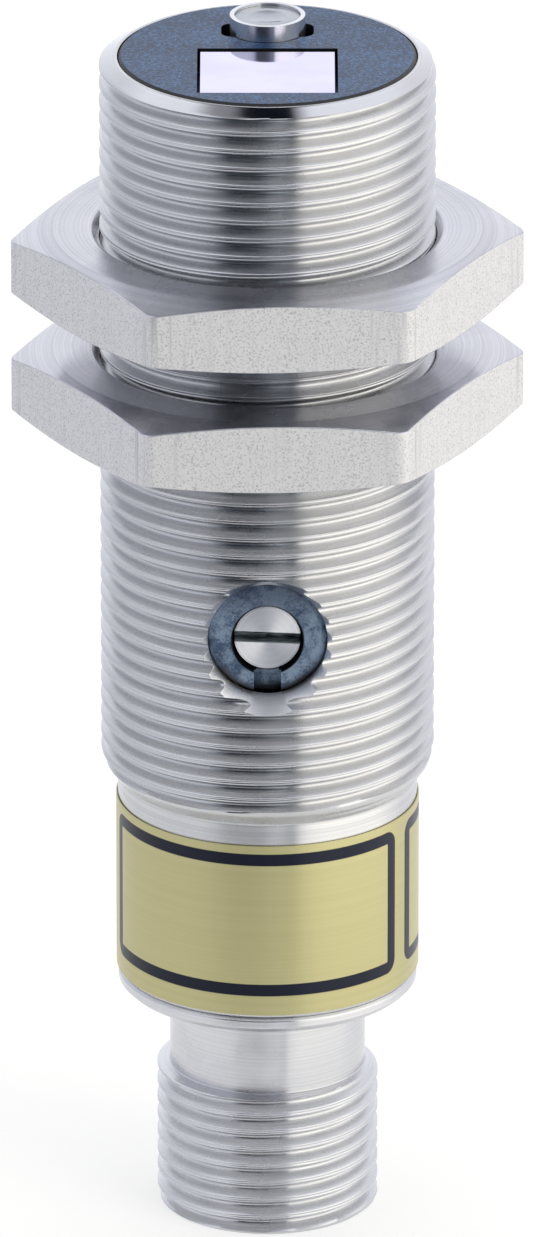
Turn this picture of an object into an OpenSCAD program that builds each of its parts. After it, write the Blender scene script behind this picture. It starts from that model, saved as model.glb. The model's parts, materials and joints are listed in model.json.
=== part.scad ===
// Cylindrical laser sensor: a threaded steel sleeve with two lock nuts, a recessed adjusting screw
// and a plug end. Z runs along the axis with the sensing face up, and the adjusting screw faces -Y.
// Z = 0 is the end of the plug. All sizes are in millimetres.

/* [Sleeve] */
// Outside diameter of the mounting thread, over its crests
thread_d = 18; // [17.6:0.1:18.4]
// Length of the threaded section, up to the sensing face
thread_len = 39.6; // [38:0.2:43]
// Distance between neighbouring crests of the mounting thread
thread_pitch = 1; // [0.75:0.25:1.5]
// Axial length of the bevel round the sensing face
face_bevel = 0.5; // [0.3:0.1:0.8]
// Axial length of the bevel behind the thread
runout_len = 1.5; // [1.1:0.1:2]
// Diameter of the plain rear section
rear_d = 16.2; // [15.9:0.1:16.6]
// Length of the plain rear section
rear_len = 11.3; // [10:0.1:13]
// Bore of the sleeve
bore_d = 14.8; // [14.6:0.1:15.1]
// Bevel on the turned edges of sleeve and flange
edge_break = 0.15; // [0.05:0.05:0.25]

/* [Thread form] */
// Depth of the threads' grooves below their crests
thread_depth = 0.6; // [0.4:0.05:0.7]
// Width of the flat on a crest
crest_flat = 0.2; // [0.1:0.05:0.3]
// Width of the flat in a groove
root_flat = 0.2; // [0.1:0.05:0.3]

/* [Screw pocket] */
// Distance of the adjusting screw's axis from the sensing face
screw_back = 30.5; // [29:0.1:31.5]
// Diameter of the conical pocket where it meets the thread crests
pocket_d = 7.96; // [7.5:0.02:8.6]
// Included angle of the conical pocket
pocket_angle = 62; // [50:1:80]

/* [Front cap] */
// Diameter of the cap in the sensing face
cap_d = 15.94; // [15.7:0.02:16.1]
// Thickness of the cap's rim
cap_t = 2.5; // [2.2:0.1:3.2]
// Length of the cap's spigot behind the rim
cap_spigot_len = 2.5; // [2.2:0.1:3.5]
// Width of the receiver window, along X
window_w = 7.15; // [6.4:0.05:7.6]
// Length of the receiver window, along Y
window_l = 6.6; // [6:0.1:6.8]
// Thickness of the receiver window
window_t = 1.25; // [1:0.05:1.5]
// How far the window lies below the cap's face
window_recess = 0.1; // [0.02:0.01:0.2]
// Gap between the window and the walls of its pocket
window_gap = 0.17; // [0.05:0.01:0.2]
// Distance of the window's centre from the sensor's axis
window_offset = 2.62; // [2.5:0.02:2.8]

/* [Laser tube] */
// Outside diameter of the laser tube
tube_d = 4.05; // [3.8:0.05:4.2]
// Bore of the laser tube
tube_bore_d = 3.3; // [3.1:0.05:3.5]
// Diameter of the lens seat in the tube's mouth
lens_seat_d = 3.56; // [3.52:0.02:3.7]
// Length of the laser tube
tube_len = 12.9; // [11:0.1:14]
// How far the tube stands out of the cap
tube_out = 0.9; // [0.5:0.1:1.5]
// Distance of the tube's axis from the sensor's axis
tube_offset = 3.75; // [3.6:0.05:3.9]
// Clearance between the tube and its hole in the cap, on the radius
tube_gap = 0.05; // [0.03:0.01:0.1]
// Distance across the two notches beside the tube
side_notch_span = 4.96; // [4.6:0.02:5.4]
// Width of the notches beside the tube
side_notch_w = 2.15; // [1.6:0.05:2.4]
// Corner radius of the notches beside the tube
side_notch_r = 0.65; // [0.3:0.05:0.75]
// Depth of the notches beside the tube
side_notch_depth = 1.2; // [0.6:0.1:1.8]
// Thickness of the collimator lens
lens_t = 1.3; // [1:0.1:2]
// How far the lens lies below the tube's mouth
lens_recess = 0.15; // [0.05:0.05:0.4]
// Diameter of the hollow optical zone of the lens
lens_zone_d = 2.06; // [1.8:0.02:2.4]
// Depth of the hollow optical zone
lens_zone_depth = 0.14; // [0.08:0.02:0.2]

/* [Optics inside] */
// Length of the optics holder
holder_len = 17; // [16:0.5:18]
// Diameter of the receiver lens
receiver_lens_d = 5.8; // [5.4:0.1:6]
// Thickness of the receiver lens at its crown
receiver_lens_t = 1.6; // [1.4:0.1:1.8]
// Radius of the receiver lens's curved face
receiver_lens_r = 4.2; // [4:0.1:6]
// Height of the receiver lens's seat above the cap's inner end
lens_seat_up = 1.9; // [1.7:0.1:2]
// Diameter of the light channel under the receiver lens
channel_d = 5.2; // [4.6:0.1:5.3]
// Edge of the square photodiode package
photodiode_w = 2.8; // [2.4:0.1:3.2]
// Ledge that carries the photodiode's rim
photodiode_ledge = 0.18; // [0.1:0.02:0.3]
// Height of the photodiode package
photodiode_h = 1; // [0.6:0.1:1.4]
// Height of the photodiode's shelf above the holder's lower end
shelf_up = 6; // [5:0.5:7]
// Diameter of the laser diode's can
can_d = 2.5; // [2:0.1:2.8]
// Height of the laser diode's can
can_h = 1.7; // [1.2:0.1:2.2]
// Thickness of the laser diode's base
diode_base_t = 0.8; // [0.6:0.1:1]
// Distance of the laser diode's base from the tube's inner end
diode_inset = 0.3; // [0.1:0.1:0.8]
// Diameter of the leads under diode and photodiode
lead_d = 0.44; // [0.3:0.02:0.5]
// Half the distance between two leads
lead_half_pitch = 0.7; // [0.6:0.05:0.85]
// Room beside the laser diode's leads in their channel
lead_room = 0.5; // [0.3:0.05:0.6]

/* [Circuit board] */
// Thickness of the circuit board
board_t = 1; // [0.8:0.1:1.2]
// Side gap between circuit board and sleeve bore
board_side_gap = 0.6; // [0.3:0.1:1]
// Width of the narrow tongue at the board's lower end
tongue_w = 8; // [6:0.2:9]
// Depth of the board's slot in the optics holder
board_slot = 3; // [2.4:0.1:3.6]
// Gap between the solder tabs and the board's lower end
board_gap = 0.3; // [0.2:0.05:0.5]
// Gap between the shell's spigot and the board's shoulders
shoulder_gap = 0.5; // [0.3:0.1:1]
// Edge of the square controller package
controller_w = 7; // [5:0.5:8]
// Height of the controller package
controller_h = 1; // [0.8:0.1:1.4]
// Distance of the controller's centre below the screw's axis
controller_down = 8.5; // [8:0.1:9]
// Width of the laser driver package, along X
driver_w = 5; // [3:0.5:8]
// Length of the laser driver package, along Z
driver_l = 4; // [3:0.5:5]
// Height of the laser driver package
driver_h = 1.2; // [0.8:0.1:1.6]
// Distance of the driver's centre above the screw's axis
driver_up = 3; // [2:0.1:4]
// Diameter of the capacitors
capacitor_d = 3; // [2:0.1:3.4]
// Height of the capacitors
capacitor_h = 3.2; // [2:0.1:4]
// Distance between the capacitors' centres
capacitor_pitch = 4.2; // [4:0.1:4.6]

/* [Adjusting screw] */
// Distance of the ring's face below the thread crests
ring_depth = 1.3; // [1.1:0.05:1.5]
// Outside diameter of the ring round the screw
ring_d = 6.4; // [6:0.05:6.6]
// Bore of the ring
ring_bore_d = 3.76; // [3.6:0.01:3.9]
// Rounding of the ring's outer edge
ring_round = 0.55; // [0.3:0.05:0.8]
// Bevel of the ring's inner edge
ring_inner_bevel = 0.1; // [0.05:0.05:0.2]
// Width of the notch in the ring
notch_w = 1.45; // [1:0.05:1.8]
// Depth of the notch in the ring
notch_depth = 0.8; // [0.4:0.1:1.2]
// Running clearance between screw and ring, on the radius
screw_play = 0.1; // [0.03:0.01:0.14]
// How far the screw lies below the ring's face
screw_recess = 0.25; // [0.1:0.05:0.5]
// Width of the driver slot
slot_w = 0.62; // [0.5:0.02:0.9]
// Depth of the driver slot
slot_depth = 0.9; // [0.6:0.1:1.2]
// Tilt of the driver slot, as the screw was left
slot_tilt = 2.5; // [-90:0.5:90]
// Diameter of the screw's shaft
shaft_d = 1.8; // [1.4:0.1:2]
// How deep the shaft reaches into the trimmer
shaft_reach = 1.9; // [1.2:0.1:2.4]
// Width of the screw's seal groove
screw_groove_w = 0.75; // [0.7:0.05:0.85]
// Thickness of the screw's inner collar
collar_t = 0.35; // [0.25:0.05:0.5]
// Gap between the collar and the trimmer
thrust_gap = 0.05; // [0.02:0.01:0.1]
// Section diameter of the screw's ring seal
screw_seal_w = 0.6; // [0.5:0.05:0.65]
// Edge of the square trimmer body
trimmer_w = 5; // [4.5:0.1:5.5]
// Height of the trimmer body above the board
trimmer_h = 4; // [3.4:0.1:4.2]

/* [Lock nuts] */
// Width across flats of the lock nuts
nut_af = 24; // [22:0.5:27]
// Thickness of a lock nut
nut_t = 4; // [3:0.1:5]
// Running clearance between nut and thread crests, on the radius
nut_play = 0.03; // [0.02:0.01:0.08]
// Diameter of a nut's flat face, where its outer bevel starts
nut_face_d = 23; // [21.5:0.1:23.6]
// Angle of a nut's outer bevel
nut_bevel_angle = 14; // [8:1:30]
// Depth of the bevel in a nut's mouth
nut_mouth = 0.42; // [0.2:0.02:0.6]
// Distance of the front nut from the sensing face
front_nut_back = 9.8; // [5:0.1:12]
// Gap between the two nuts
nut_gap = 2.8; // [1:0.1:5]
// Turn of the front nut, as it was left
front_nut_turn = 3.3; // [-30:0.1:30]
// Turn of the rear nut, as it was left
rear_nut_turn = 2; // [-30:0.1:30]

/* [Label band] */
// Thickness of the label band
label_t = 0.08; // [0.05:0.01:0.12]
// Gap between the label band and the sleeve's rear edge
label_rear_gap = 0.25; // [0.2:0.05:0.6]
// Bare band between the label and the bevel behind the thread
bare_band = 1.2; // [0.8:0.1:2]
// Gap where the ends of the label band meet, at the back
label_seam = 0.6; // [0.2:0.1:1.5]

/* [Plug end] */
// Outside diameter of the coupling thread, over its crests
coupling_d = 12; // [11.7:0.1:12.3]
// Length of the coupling thread
coupling_len = 7.05; // [6.5:0.05:9]
// Distance between neighbouring crests of the coupling thread
coupling_pitch = 1; // [0.75:0.25:1.5]
// Axial length of the cone between coupling thread and neck
cone_len = 0.7; // [0.5:0.05:1]
// Diameter of the neck
neck_d = 10.6; // [10.3:0.1:11]
// Length of the neck
neck_len = 5.2; // [4:0.1:7]
// Thickness of the flange
flange_t = 0.65; // [0.5:0.05:1]
// Length of the spigot that reaches into the sleeve
spigot_len = 5.2; // [4.8:0.1:6]
// Diameter of the socket
socket_d = 8.7; // [8.4:0.05:8.9]
// Depth of the socket
socket_depth = 6.2; // [5:0.1:6.6]
// Height of the contact carrier's seat above the sleeve's rear face
carrier_seat_up = 1.7; // [1.6:0.05:2.2]
// Diameter of the contact carrier's collar
carrier_collar_d = 11.4; // [11:0.1:12.2]
// Thickness of the contact carrier's collar
carrier_collar_t = 1.5; // [1.2:0.1:1.8]
// Width of the coding key
key_w = 0.9; // [0.7:0.05:1.1]
// How far the coding key stands out of the socket wall
key_h = 0.7; // [0.5:0.05:0.8]
// Distance of the coding key's end from the plug's end
key_back = 1.2; // [0.8:0.1:2]
// Number of contact pins
pin_count = 4; // [3:1:5]
// Diameter of a contact pin
pin_d = 1; // [0.8:0.05:1.05]
// Diameter of the circle through the pins
pin_circle_d = 5; // [4.8:0.05:5.2]
// Distance of the pin tips from the plug's end
pin_back = 1.1; // [0.8:0.1:2]
// Width of the solder tab at a pin's inner end
tab_w = 0.8; // [0.5:0.05:1]
// Thickness of a solder tab
tab_t = 0.4; // [0.3:0.05:0.5]
// Length of a solder tab along the board
tab_len = 2; // [1.5:0.1:2.2]
// Height of the solder tabs above the contact carrier
tab_up = 0.4; // [0.2:0.05:0.6]

/* [Seals and fits] */
// Section diameter of the ring seals of cap and shell
seal_w = 0.7; // [0.6:0.02:0.76]
// Section diameter of the contact carrier's ring seal
carrier_seal_w = 0.6; // [0.5:0.02:0.66]
// Gap round a seated ring seal
seal_gap = 0.02; // [0.01:0.01:0.04]
// Room beside a ring seal in its groove
groove_room = 0.3; // [0.2:0.02:0.4]
// Gap of glued and pressed fits, on the radius
fit_gap = 0.02; // [0.01:0.01:0.04]
// Gap between cap and sleeve, on the radius
cap_gap = 0.05; // [0.03:0.01:0.08]

/* [Hidden] */
$fn = 96;

// Overlap of a cut past the faces it opens
cut = 1;

// Radii of the sleeve and what it carries
thread_r = thread_d / 2;
rear_r = rear_d / 2;
bore_r = bore_d / 2;
inner_r = bore_r - fit_gap;
cap_r = cap_d / 2;
cap_seat_r = cap_r + cap_gap;

// Heights along the axis, from the plug end up
cone_z = coupling_len;
neck_z = cone_z + cone_len;
flange_z = neck_z + neck_len;
sleeve_z = flange_z + flange_t;
runout_z = sleeve_z + rear_len;
thread_z = runout_z + runout_len;
face_z = thread_z + thread_len;
cap_z = face_z - cap_t;
spigot_z = cap_z - cap_spigot_len;
holder_z = spigot_z - holder_len;
screw_z = face_z - screw_back;

// Seats of the optics
window_seat_z = face_z - window_recess - window_t;
receiver_lens_z = spigot_z + lens_seat_up;
tube_top_z = face_z + tube_out;
tube_z = tube_top_z - tube_len;
lens_z = tube_top_z - lens_recess - lens_t;
shelf_z = holder_z + shelf_up;
board_top_z = holder_z + board_slot;
lead_z = holder_z + board_slot / 2;
lead_channel_d = 2 * (lead_half_pitch + lead_d / 2 + lead_room);
sense_channel_d = photodiode_w - 2 * photodiode_ledge;

// Circuit board and the parts on it
board_face = board_t / 2;
board_w = 2 * (bore_r - board_side_gap);
carrier_seat_z = sleeve_z + carrier_seat_up;
carrier_top_z = carrier_seat_z + carrier_collar_t;
tab_z = carrier_top_z + tab_up;
board_z = tab_z + tab_t + board_gap;
shoulder_z = sleeve_z + spigot_len + shoulder_gap;

// Adjusting screw, measured outward from the sensor's axis
ring_face = thread_r - ring_depth;
trimmer_face = board_face + trimmer_h;
ring_len = ring_face - trimmer_face;
screw_r = ring_bore_d / 2 - screw_play;
screw_face = ring_face - screw_recess;
collar_end = trimmer_face + thrust_gap;
groove_start = collar_end + collar_t;
head_start = groove_start + screw_groove_w;
screw_seal_r = ring_bore_d / 2 - seal_gap - screw_seal_w / 2;
groove_floor_r = screw_seal_r - screw_seal_w / 2 - seal_gap;
shaft_end = trimmer_face - shaft_reach;

// Seals in their grooves
seal_groove_w = seal_w + groove_room;
seal_floor_r = bore_r - seal_w - 2 * seal_gap;
seal_mid_r = bore_r - seal_gap - seal_w / 2;
cap_seal_z = spigot_z + lens_seat_up / 2;
shell_seal_z = sleeve_z + carrier_seat_up / 2;
carrier_seal_z = (socket_depth + carrier_seat_z) / 2;
carrier_r = socket_d / 2 - fit_gap;
carrier_floor_r = socket_d / 2 - carrier_seal_w - 2 * seal_gap;
carrier_mid_r = socket_d / 2 - seal_gap - carrier_seal_w / 2;
carrier_groove_w = carrier_seal_w + groove_room;

// Places of the nuts and the label band
front_nut_z = face_z - front_nut_back - nut_t;
rear_nut_z = front_nut_z - nut_gap - nut_t;
label_r = rear_r + fit_gap;
label_z = sleeve_z + label_rear_gap;
label_h = rear_len - label_rear_gap - bare_band;

// One groove of a thread drawn as rings, listed upward from the crest below it
function thread_groove(crest_r, pitch, low) = [
    [crest_r, low + crest_flat / 2],
    [crest_r - thread_depth, low + (pitch - root_flat) / 2],
    [crest_r - thread_depth, low + (pitch + root_flat) / 2],
    [crest_r, low + pitch - crest_flat / 2]
];

// Every groove between two heights, counted down from a crest at the upper one
function thread_grooves(crest_r, pitch, low, high) = [
    for (index = [floor((high - low) / pitch) : -1 : 1])
        each thread_groove(crest_r, pitch, high - index * pitch)
];

// Turns +Z into the screw's outward direction, -Y
module toward_screw() {
    translate([0, 0, screw_z]) rotate([90, 0, 0]) children();
}

// Ring of round section about the Z axis
module seal_ring(middle_r, section_d) {
    rotate_extrude() translate([middle_r, 0]) circle(d = section_d, $fn = 64);
}

// Groove about the Z axis, centred on Z = 0 and open to the outside
module seal_groove(floor_r, outer_r, width) {
    difference() {
        cylinder(r = outer_r + cut, h = width, center = true);
        cylinder(r = floor_r, h = width + 2 * cut, center = true);
    }
}

// Two leads that drop from a package and bend over to the board's face
module bent_leads(from_y, top_z, to_y) {
    reach = abs(from_y - to_y);
    inward = from_y > to_y ? 90 : -90;
    for (side = [-1, 1]) translate([side * lead_half_pitch, from_y, lead_z]) {
        cylinder(d = lead_d, h = top_z - lead_z, $fn = 24);
        sphere(d = lead_d, $fn = 24);
        rotate([inward, 0, 0]) cylinder(d = lead_d, h = reach, $fn = 24);
    }
}

// Turned sleeve with its thread, the conical screw pocket and the seat for the cap
module housing_sleeve() {
    hole_r = ring_d / 2 + fit_gap;
    slope = tan(pocket_angle / 2);
    cone_top = thread_r + cut;
    cone_low = thread_r - (pocket_d / 2 - hole_r) / slope;
    color([0.74, 0.75, 0.76]) difference() {
        rotate_extrude() polygon([
            [bore_r, sleeve_z],
            [rear_r - edge_break, sleeve_z],
            [rear_r, sleeve_z + edge_break],
            [rear_r, runout_z],
            [thread_r - (thread_r - rear_r) / 3, thread_z - runout_len / 2],
            [thread_r, thread_z],
            each thread_grooves(thread_r, thread_pitch, thread_z, face_z - face_bevel),
            [thread_r, face_z - face_bevel],
            [cap_seat_r, face_z],
            [cap_seat_r, cap_z],
            [bore_r, cap_z]
        ]);
        toward_screw() cylinder(r = hole_r, h = cone_top);
        toward_screw() translate([0, 0, cone_low])
            cylinder(r1 = hole_r, r2 = hole_r + (cone_top - cone_low) * slope, h = cone_top - cone_low);
    }
}

// Flat rectangle with rounded corners, centred
module rounded_plate(length, width, radius) {
    square([length, width - 2 * radius], center = true);
    square([length - 2 * radius, width], center = true);
    for (x = [-1, 1]) for (y = [-1, 1])
        translate([x * (length / 2 - radius), y * (width / 2 - radius)]) circle(r = radius);
}

// Moulded cap: rim, spigot with seal groove, tube hole with its notches, window pocket and lens seat
module front_cap() {
    pocket_w = window_w + 2 * window_gap;
    pocket_l = window_l + 2 * window_gap;
    seat_r = receiver_lens_d / 2 + fit_gap;
    color([0.13, 0.16, 0.21]) difference() {
        rotate_extrude() polygon([
            [0, spigot_z],
            [inner_r - edge_break, spigot_z],
            [inner_r, spigot_z + edge_break],
            [inner_r, cap_z],
            [cap_r, cap_z],
            [cap_r, face_z - edge_break],
            [cap_r - edge_break, face_z],
            [0, face_z]
        ]);
        translate([0, 0, cap_seal_z]) seal_groove(seal_floor_r, inner_r, seal_groove_w);
        translate([0, tube_offset, spigot_z - cut])
            cylinder(r = tube_d / 2 + tube_gap, h = cap_t + cap_spigot_len + 2 * cut);
        translate([0, tube_offset, face_z - side_notch_depth]) linear_extrude(side_notch_depth + cut)
            rounded_plate(side_notch_span, side_notch_w, side_notch_r);
        translate([0, -window_offset, 0]) {
            translate([-pocket_w / 2, -pocket_l / 2, window_seat_z])
                cube([pocket_w, pocket_l, window_t + cut]);
            translate([0, 0, receiver_lens_z])
                cylinder(r = seat_r, h = window_seat_z - receiver_lens_z + cut / 2);
            translate([0, 0, spigot_z - cut]) cylinder(d = channel_d, h = lens_seat_up + 2 * cut);
        }
    }
}

module cap_seal() {
    color([0.08, 0.08, 0.08]) translate([0, 0, cap_seal_z]) seal_ring(seal_mid_r, seal_w);
}

// Rectangular pane with its rear face on the ledge of the pocket
module receiver_window() {
    color([0.9, 0.89, 0.97]) translate([-window_w / 2, -window_offset - window_l / 2, window_seat_z])
        cube([window_w, window_l, window_t]);
}

// Flat below, curved above
module receiver_lens() {
    color([0.85, 0.9, 0.95, 0.6]) translate([0, -window_offset, receiver_lens_z]) intersection() {
        cylinder(d = receiver_lens_d, h = receiver_lens_t);
        translate([0, 0, receiver_lens_t - receiver_lens_r]) sphere(r = receiver_lens_r);
    }
}

// Steel tube with a stepped mouth for the lens
module laser_tube() {
    color([0.78, 0.79, 0.81]) translate([0, tube_offset, 0]) rotate_extrude() polygon([
        [tube_bore_d / 2, tube_z],
        [tube_d / 2, tube_z],
        [tube_d / 2, tube_top_z],
        [lens_seat_d / 2, tube_top_z],
        [lens_seat_d / 2, lens_z],
        [tube_bore_d / 2, lens_z]
    ]);
}

// Disc with a shallow hollow in its front face
module collimator_lens() {
    zone_r = lens_zone_d / 2;
    hollow_r = (zone_r * zone_r + lens_zone_depth * lens_zone_depth) / (2 * lens_zone_depth);
    color([0.86, 0.89, 0.92, 0.6]) translate([0, tube_offset, lens_z]) difference() {
        cylinder(d = lens_seat_d - 2 * fit_gap, h = lens_t);
        translate([0, 0, lens_t - lens_zone_depth + hollow_r]) sphere(r = hollow_r);
    }
}

// Base, can and two bent leads
module laser_diode() {
    base_z = tube_z + diode_inset;
    color([0.76, 0.68, 0.42]) {
        translate([0, tube_offset, base_z]) {
            cylinder(d = tube_bore_d - 2 * fit_gap, h = diode_base_t);
            cylinder(d = can_d, h = diode_base_t + can_h);
        }
        bent_leads(tube_offset, base_z, board_face + fit_gap);
    }
}

// Moulding that carries tube, photodiode and board
module optics_holder() {
    slot_t = board_t + 2 * fit_gap;
    color([0.1, 0.1, 0.11]) translate([0, 0, holder_z]) difference() {
        cylinder(r = inner_r, h = holder_len);
        translate([-bore_r - cut, -slot_t / 2, -cut]) cube([bore_d + 2 * cut, slot_t, board_slot + cut]);
        translate([0, tube_offset, tube_z - holder_z])
            cylinder(d = tube_d + 2 * fit_gap, h = spigot_z - tube_z + cut);
        translate([0, tube_offset, -cut]) cylinder(d = lead_channel_d, h = tube_z - holder_z + 2 * cut);
        translate([0, -window_offset, shelf_up]) cylinder(d = channel_d, h = holder_len - shelf_up + cut);
        translate([0, -window_offset, -cut]) cylinder(d = sense_channel_d, h = shelf_up + 2 * cut);
        translate([-lead_channel_d / 2, 0, -cut])
            cube([lead_channel_d, tube_offset, board_slot + cut]);
        translate([-sense_channel_d / 2, -window_offset, -cut])
            cube([sense_channel_d, window_offset, board_slot + cut]);
    }
}

// Square package on the shelf, facing up
module photodiode() {
    color([0.2, 0.12, 0.14]) {
        translate([-photodiode_w / 2, -window_offset - photodiode_w / 2, shelf_z])
            cube([photodiode_w, photodiode_w, photodiode_h]);
        bent_leads(-window_offset, shelf_z, -board_face - fit_gap);
    }
}

// Board between the solder tabs and the slot of the optics holder
module circuit_board() {
    color([0.1, 0.35, 0.18]) {
        translate([-tongue_w / 2, -board_face, board_z])
            cube([tongue_w, board_t, shoulder_z - board_z]);
        translate([-board_w / 2, -board_face, shoulder_z])
            cube([board_w, board_t, board_top_z - shoulder_z]);
    }
}

module controller_chip() {
    color([0.12, 0.12, 0.13])
        translate([0, -board_face - controller_h / 2, screw_z - controller_down])
            cube([controller_w, controller_h, controller_w], center = true);
}

module driver_chip() {
    color([0.12, 0.12, 0.13])
        translate([-driver_w / 2, board_face, screw_z + driver_up - driver_l / 2])
            cube([driver_w, driver_h, driver_l]);
}

// Three round cans on the back of the board
module capacitors() {
    color([0.7, 0.71, 0.73]) for (place = [1 : 3])
        translate([0, board_face, screw_z - place * capacitor_pitch])
            rotate([-90, 0, 0]) cylinder(d = capacitor_d, h = capacitor_h, $fn = 48);
}

// Potentiometer body on the front of the board, bored for the screw's shaft
module trimmer() {
    color([0.16, 0.25, 0.5]) toward_screw() difference() {
        translate([-trimmer_w / 2, -trimmer_w / 2, board_face]) cube([trimmer_w, trimmer_w, trimmer_h]);
        translate([0, 0, shaft_end - thrust_gap])
            cylinder(r = shaft_d / 2 + screw_play, h = shaft_reach + cut);
    }
}

// Ring in the pocket, with a rounded edge and one notch towards the plug end
module screw_ring() {
    ring_r = ring_d / 2;
    bore = ring_bore_d / 2;
    round_steps = 8;
    color([0.12, 0.14, 0.19]) toward_screw() difference() {
        rotate_extrude() polygon(concat(
            [[bore, trimmer_face], [ring_r, trimmer_face]],
            [for (step = [0 : round_steps]) let (turn = 90 * step / round_steps) [
                ring_r - ring_round + ring_round * cos(turn),
                ring_face - ring_round + ring_round * sin(turn)
            ]],
            [[bore + ring_inner_bevel, ring_face], [bore, ring_face - ring_inner_bevel]]
        ));
        translate([-notch_w / 2, -ring_r - cut, ring_face - notch_depth])
            cube([notch_w, ring_r + cut - bore + ring_inner_bevel, notch_depth + cut]);
    }
}

// Slotted head, seal groove, collar and shaft, turned in one piece
module adjusting_screw() {
    color([0.8, 0.8, 0.82]) toward_screw() difference() {
        rotate_extrude() polygon([
            [0, shaft_end],
            [shaft_d / 2, shaft_end],
            [shaft_d / 2, collar_end],
            [screw_r, collar_end],
            [screw_r, groove_start],
            [groove_floor_r, groove_start],
            [groove_floor_r, head_start],
            [screw_r, head_start],
            [screw_r, screw_face],
            [0, screw_face]
        ]);
        rotate([0, 0, -slot_tilt]) translate([-screw_r - cut, -slot_w / 2, screw_face - slot_depth])
            cube([2 * (screw_r + cut), slot_w, slot_depth + cut]);
    }
}

module screw_seal() {
    color([0.08, 0.08, 0.08]) toward_screw() translate([0, 0, (groove_start + head_start) / 2])
        seal_ring(screw_seal_r, screw_seal_w);
}

// Hexagon nut with a bevelled rim on both faces and a bevelled mouth
module lock_nut(turn) {
    corner_r = nut_af / 2 / cos(30);
    bore = thread_r + nut_play;
    drop = (corner_r + cut - nut_face_d / 2) * tan(nut_bevel_angle);
    color([0.73, 0.74, 0.75]) rotate([0, 0, turn]) difference() {
        intersection() {
            cylinder(r = corner_r, h = nut_t, $fn = 6);
            rotate_extrude() polygon([
                [0, 0],
                [nut_face_d / 2, 0],
                [corner_r + cut, drop],
                [corner_r + cut, nut_t - drop],
                [nut_face_d / 2, nut_t],
                [0, nut_t]
            ]);
        }
        translate([0, 0, -cut]) cylinder(r = bore, h = nut_t + 2 * cut);
        translate([0, 0, -cut]) cylinder(r1 = bore + nut_mouth + cut, r2 = bore, h = nut_mouth + cut);
        translate([0, 0, nut_t - nut_mouth])
            cylinder(r1 = bore, r2 = bore + nut_mouth + cut, h = nut_mouth + cut);
    }
}

module front_nut() {
    translate([0, 0, front_nut_z]) lock_nut(front_nut_turn);
}

module rear_nut() {
    translate([0, 0, rear_nut_z]) lock_nut(rear_nut_turn);
}

// Thin band round the plain rear section, with its seam at the back
module label_band() {
    color([0.82, 0.76, 0.5]) translate([0, 0, label_z]) difference() {
        cylinder(r = label_r + label_t, h = label_h);
        translate([0, 0, -cut]) cylinder(r = label_r, h = label_h + 2 * cut);
        translate([-label_seam / 2, 0, -cut]) cube([label_seam, rear_d, label_h + 2 * cut]);
    }
}

// Coupling thread, neck, flange and spigot, turned in one piece
module connector_shell() {
    coupling_r = coupling_d / 2;
    flange_r = rear_r;
    collar_r = carrier_collar_d / 2 + fit_gap;
    color([0.76, 0.77, 0.79]) difference() {
        rotate_extrude() polygon([
            [socket_d / 2, 0],
            [coupling_r - edge_break, 0],
            [coupling_r, edge_break],
            each thread_grooves(coupling_r, coupling_pitch, edge_break, cone_z),
            [coupling_r, cone_z],
            [neck_d / 2, neck_z],
            [neck_d / 2, flange_z],
            [flange_r - edge_break, flange_z],
            [flange_r, flange_z + edge_break],
            [flange_r, sleeve_z - edge_break],
            [flange_r - edge_break, sleeve_z],
            [inner_r, sleeve_z],
            [inner_r, sleeve_z + spigot_len],
            [collar_r, sleeve_z + spigot_len],
            [collar_r, carrier_seat_z],
            [socket_d / 2, carrier_seat_z]
        ]);
        translate([0, 0, shell_seal_z]) seal_groove(seal_floor_r, inner_r, seal_groove_w);
    }
}

module shell_seal() {
    color([0.08, 0.08, 0.08]) translate([0, 0, shell_seal_z]) seal_ring(seal_mid_r, seal_w);
}

// Places its children at each contact pin
module at_pins() {
    for (index = [0 : pin_count - 1])
        rotate([0, 0, 45 + 360 * index / pin_count]) translate([pin_circle_d / 2, 0, 0]) children();
}

// Insert that holds the pins, seated by its collar
module contact_carrier() {
    color([0.1, 0.1, 0.1]) difference() {
        union() {
            translate([0, 0, socket_depth]) cylinder(r = carrier_r, h = carrier_seat_z - socket_depth);
            translate([0, 0, carrier_seat_z]) cylinder(d = carrier_collar_d, h = carrier_collar_t);
        }
        translate([0, 0, carrier_seal_z]) seal_groove(carrier_floor_r, carrier_r, carrier_groove_w);
        at_pins() translate([0, 0, socket_depth - cut])
            cylinder(d = pin_d + 2 * fit_gap, h = carrier_top_z - socket_depth + 2 * cut, $fn = 32);
    }
}

// Rib along the socket wall that lets a cable socket enter in one position
module coding_key() {
    color([0.1, 0.1, 0.1]) intersection() {
        translate([-key_w / 2, carrier_r - key_h, key_back])
            cube([key_w, key_h + cut, socket_depth - key_back]);
        cylinder(r = carrier_r, h = socket_depth);
    }
}

module carrier_seal() {
    color([0.08, 0.08, 0.08]) translate([0, 0, carrier_seal_z]) seal_ring(carrier_mid_r, carrier_seal_w);
}

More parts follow.
